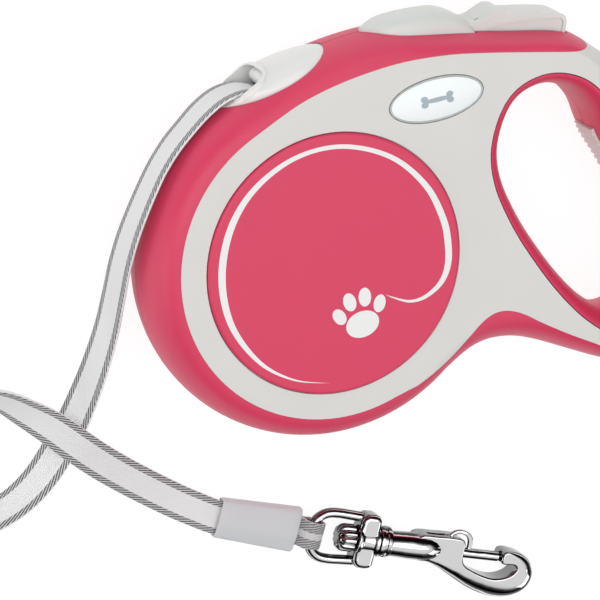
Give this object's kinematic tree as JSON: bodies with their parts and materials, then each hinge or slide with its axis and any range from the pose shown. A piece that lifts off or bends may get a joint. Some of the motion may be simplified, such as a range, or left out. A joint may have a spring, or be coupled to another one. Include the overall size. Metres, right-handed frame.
{
  "type": "retractable tape leash",
  "caption": "Round spring-reel housing with a looped grip and thumb brake button, a woven tape leaving a side nozzle, a sleeve, a swivel eye and a bolt snap hook.",
  "frame": {"origin": "middle of the rear disc's resting face, on the reel's axis", "axes": "+X from the reel to the grip, +Y to the brake button's side, +Z out of the upper side"},
  "size_m": [0.2681, 0.2047, 0.036],
  "materials": {
    "pale_plastic": "satin",
    "soft_red": "satin soft touch",
    "disc_red": "satin",
    "white_plastic": "smooth",
    "button_grey": "satin",
    "badge_clear": "gloss",
    "woven_tape": "woven",
    "sleeve_grey": "smooth",
    "chrome": "polished",
    "steel": "plain",
    "inner_plastic": "plain"
  },
  "bodies": {
    "housing": {"front_casing": "pale_plastic", "rear_casing": "pale_plastic", "front_rim_band": "soft_red", "rear_rim_band": "soft_red", "front_liner": "soft_red", "rear_liner": "soft_red", "grip_pad": "pale_plastic", "front_disc": "disc_red", "rear_disc": "disc_red", "badge": "badge_clear", "nozzle": "white_plastic", "tape_guide": "white_plastic", "brake_fairing": "button_grey", "brake_spring": "steel", "power_spring": "steel", "reel_axle": "steel", "axle_screw": "steel", "case_screw_1": "steel", "case_screw_2": "steel", "case_screw_3": "steel", "case_screw_4": "steel", "case_screw_5": "steel", "tape_lead": "woven_tape", "tape": "woven_tape", "tape_sleeve": "sleeve_grey", "tape_end_loop": "woven_tape"},
    "reel": {"reel": "inner_plastic", "reel_ratchet": "inner_plastic", "wound_tape": "woven_tape"},
    "brake_carriage": {"brake_carriage": "inner_plastic"},
    "brake_button": {"brake_button": "button_grey"},
    "swivel_eye": {"swivel_eye": "chrome"},
    "snap_hook": {"snap_hook": "chrome", "gate_spring": "steel"},
    "hook_gate": {"hook_gate": "chrome"}
  },
  "joints": [
    {"name": "reel_spin", "type": "hinge", "parent": "housing", "child": "reel", "pos_m": [0, 0, 0.018], "axis": [0, 0, 1], "continuous": true, "deforming": ["power_spring"]},
    {"name": "brake_press", "type": "slide", "parent": "housing", "child": "brake_carriage", "axis": [0, -1, 0], "range_m": [0, 0.003], "stiffness_N_per_m": 800, "springref_m": -0.002, "deforming": ["brake_spring"]},
    {"name": "brake_lock", "type": "slide", "parent": "brake_carriage", "child": "brake_button", "axis": [-1, 0, 0], "range_m": [0, 0.003]},
    {"name": "eye_pivot", "type": "hinge", "parent": "housing", "child": "swivel_eye", "pos_m": [0.0092, -0.09938, 0.00535], "axis": [-0.1822, -0.9833, 0], "range_deg": [0, 110]},
    {"name": "hook_swivel", "type": "hinge", "parent": "swivel_eye", "child": "snap_hook", "pos_m": [0.0325, -0.1037, 0.00535], "axis": [0.9833, -0.1822, 0], "continuous": true},
    {"name": "gate_slide", "type": "slide", "parent": "snap_hook", "child": "hook_gate", "axis": [-0.9833, 0.1822, 0], "range_m": [0, 0.007], "stiffness_N_per_m": 300, "springref_m": -0.005, "deforming": ["gate_spring"]}
  ]
}
